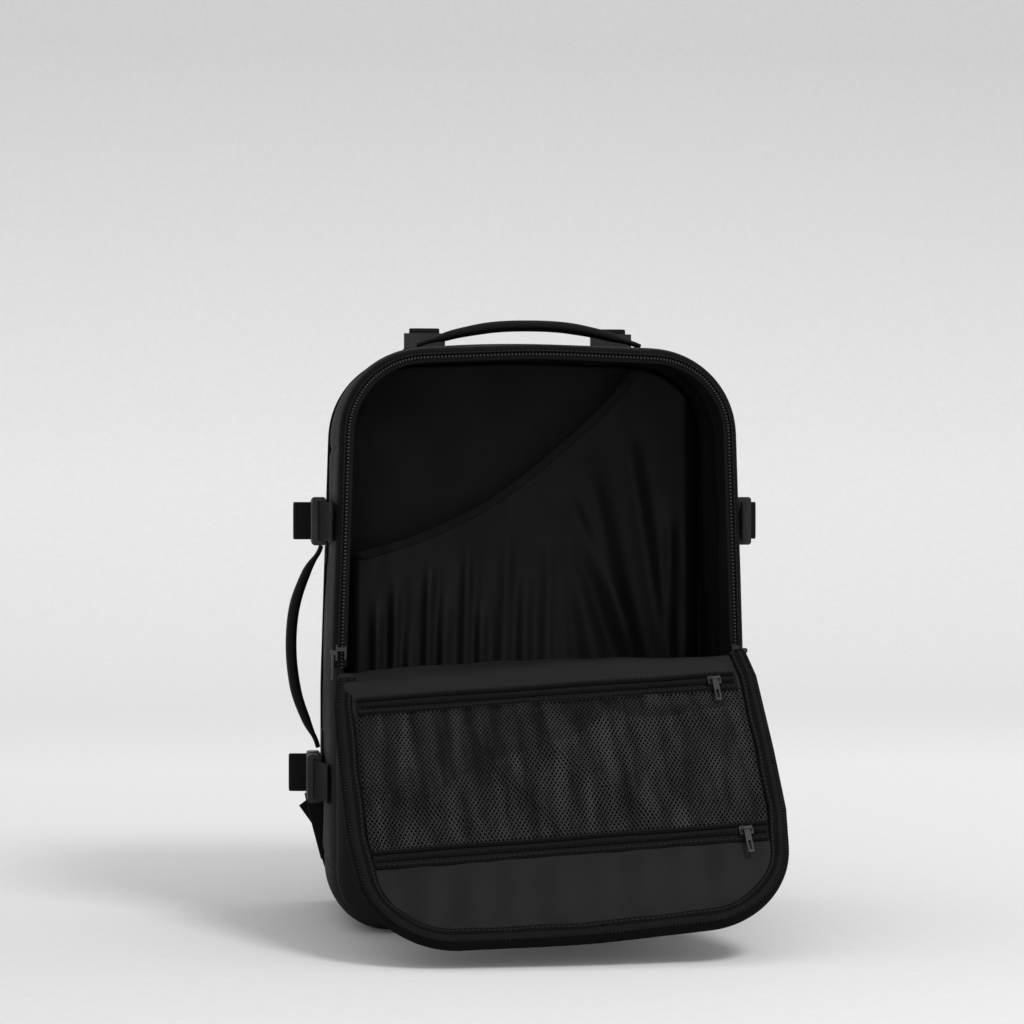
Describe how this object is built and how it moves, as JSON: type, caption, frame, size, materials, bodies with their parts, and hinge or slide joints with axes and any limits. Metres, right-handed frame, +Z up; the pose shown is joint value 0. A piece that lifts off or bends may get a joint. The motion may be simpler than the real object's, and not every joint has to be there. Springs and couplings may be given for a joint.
{
  "type": "travel backpack",
  "caption": "Upright clamshell travel backpack with its front flap folded open, a gathered sleeve pocket inside, zipped flap pockets, grips, side compression straps and padded shoulder straps.",
  "frame": {"origin": "on the floor under the middle of the body's base", "axes": "+Z up, the front and its open flap face -Y, +X towards the viewer's right seen from the front"},
  "size_m": [0.385, 0.3796, 0.4755],
  "materials": {
    "shell_fabric": "matte coated woven polyester",
    "lining_fabric": "plain smooth woven lining",
    "pocket_fabric": "crinkled light woven nylon",
    "mesh_fabric": "open knitted polyester mesh",
    "airmesh": "spacer mesh over foam",
    "binding": "ribbed grosgrain binding",
    "elastic": "ribbed elastic",
    "webbing": "woven polyester webbing",
    "zip_tape": "woven zip tape",
    "zip_coil": "moulded polyester coil",
    "zip_metal": "black enamelled zinc",
    "buckle": "moulded acetal, fine matte",
    "stiffener": "plain polyethylene sheet"
  },
  "bodies": {
    "main_body": {"base_panel": "shell_fabric", "top_panel": "shell_fabric", "left_side_panel": "shell_fabric", "right_side_panel": "shell_fabric", "compartment_lining": "lining_fabric", "lining_seam_tape": "binding", "base_board": "stiffener", "back_wall_pad": "lining_fabric", "frame_sheet": "stiffener", "back_panel": "shell_fabric", "back_pads": "airmesh", "lower_front_panel": "shell_fabric", "lower_front_lining": "lining_fabric", "sleeve_pocket": "lining_fabric", "sleeve_hem_elastic": "elastic", "rim_binding": "binding", "body_zip_tape": "zip_tape", "body_zip_coil": "zip_coil", "strap_front_webs": "webbing", "strap_rear_webs": "webbing", "buckle_sockets": "buckle", "top_handle_anchors": "webbing", "side_handle_anchors": "webbing", "strap_yoke": "shell_fabric", "strap_anchor_fins": "shell_fabric", "lower_strap_webs": "webbing", "load_lifter_locks": "buckle", "load_lifter_webs": "webbing"},
    "flap": {"flap_panel": "shell_fabric", "flap_lining": "pocket_fabric", "flap_binding": "binding", "flap_zip_tape": "zip_tape", "flap_zip_coil": "zip_coil", "mesh_pocket": "mesh_fabric", "end_pocket": "pocket_fabric", "pocket_zip_tapes": "zip_tape", "pocket_zip_coils": "zip_coil"},
    "mesh_slider": {"mesh_zip_slider": "zip_metal"},
    "mesh_pull": {"mesh_zip_pull": "zip_metal"},
    "end_slider": {"end_zip_slider": "zip_metal"},
    "end_pull": {"end_zip_pull": "zip_metal"},
    "zip_slider_left": {"main_slider_left": "zip_metal"},
    "zip_slider_right": {"main_slider_right": "zip_metal"},
    "zip_pull_left": {"main_pull_left": "zip_metal"},
    "zip_pull_right": {"main_pull_right": "zip_metal"},
    "top_grip": {"top_handle": "webbing"},
    "side_grip": {"side_handle": "webbing"},
    "left_strap": {"shoulder_strap_left": "airmesh", "adjuster_left": "buckle"},
    "right_strap": {"shoulder_strap_right": "airmesh", "adjuster_right": "buckle"},
    "upper_left_buckle": {"upper_left_plug": "buckle", "upper_left_tail": "webbing"},
    "upper_right_buckle": {"upper_right_plug": "buckle", "upper_right_tail": "webbing"},
    "lower_left_buckle": {"lower_left_plug": "buckle", "lower_left_tail": "webbing"},
    "lower_right_buckle": {"lower_right_plug": "buckle", "lower_right_tail": "webbing"}
  },
  "joints": [
    {"name": "flap_fold", "type": "hinge", "parent": "main_body", "child": "flap", "pos_m": [0, -0.101, 0.202], "axis": [-0.9994, 0, -0.0349], "range_deg": [0, 139.5]},
    {"name": "mesh_zip_slide", "type": "slide", "parent": "flap", "child": "mesh_slider", "axis": [-0.9979, -0.0227, -0.0614], "range_m": [0, 0.256]},
    {"name": "mesh_pull_swing", "type": "hinge", "parent": "mesh_slider", "child": "mesh_pull", "pos_m": [0.12925, -0.12829, 0.19626], "axis": [-0.9979, -0.0227, -0.0614], "range_deg": [0, 150]},
    {"name": "end_zip_slide", "type": "slide", "parent": "flap", "child": "end_slider", "axis": [-0.9979, -0.0227, -0.0614], "range_m": [0, 0.256]},
    {"name": "end_pull_swing", "type": "hinge", "parent": "end_slider", "child": "end_pull", "pos_m": [0.13766, -0.21721, 0.09238], "axis": [-0.9979, -0.0227, -0.0614], "range_deg": [0, 150]},
    {"name": "main_zip_slide_left", "type": "slide", "parent": "main_body", "child": "zip_slider_left", "axis": [0.0318, 0, 0.9995], "range_m": [0, 0.142]},
    {"name": "main_pull_swing_left", "type": "hinge", "parent": "zip_slider_left", "child": "zip_pull_left", "pos_m": [-0.15969, -0.0883, 0.21496], "axis": [0, 1, 0], "range_deg": [0, 150]},
    {"name": "main_zip_slide_right", "type": "slide", "parent": "main_body", "child": "zip_slider_right", "axis": [-0.0318, 0, 0.9995], "range_m": [0, 0.142]},
    {"name": "main_pull_swing_right", "type": "hinge", "parent": "zip_slider_right", "child": "zip_pull_right", "pos_m": [0.15969, -0.0883, 0.21496], "axis": [0, -1, 0], "range_deg": [0, 150]},
    {"name": "top_grip_swing", "type": "hinge", "parent": "main_body", "child": "top_grip", "pos_m": [0, 0, 0.4583], "axis": [1, 0, 0], "range_deg": [-24, 24]},
    {"name": "side_grip_swing", "type": "hinge", "parent": "main_body", "child": "side_grip", "pos_m": [-0.168, 0.02, 0.214], "axis": [0, 0, 1], "range_deg": [-24, 24]},
    {"name": "left_strap_swing", "type": "hinge", "parent": "main_body", "child": "left_strap", "pos_m": [-0.068, 0.1007, 0.448], "axis": [1, 0, 0], "range_deg": [0, 35]},
    {"name": "right_strap_swing", "type": "hinge", "parent": "main_body", "child": "right_strap", "pos_m": [0.068, 0.1007, 0.448], "axis": [1, 0, 0], "range_deg": [0, 35]},
    {"name": "upper_left_release", "type": "slide", "parent": "main_body", "child": "upper_left_buckle", "axis": [0, 1, 0], "range_m": [0, 0.022]},
    {"name": "upper_right_release", "type": "slide", "parent": "main_body", "child": "upper_right_buckle", "axis": [0, 1, 0], "range_m": [0, 0.022]},
    {"name": "lower_left_release", "type": "slide", "parent": "main_body", "child": "lower_left_buckle", "axis": [0, 1, 0], "range_m": [0, 0.022]},
    {"name": "lower_right_release", "type": "slide", "parent": "main_body", "child": "lower_right_buckle", "axis": [0, 1, 0], "range_m": [0, 0.022]}
  ]
}
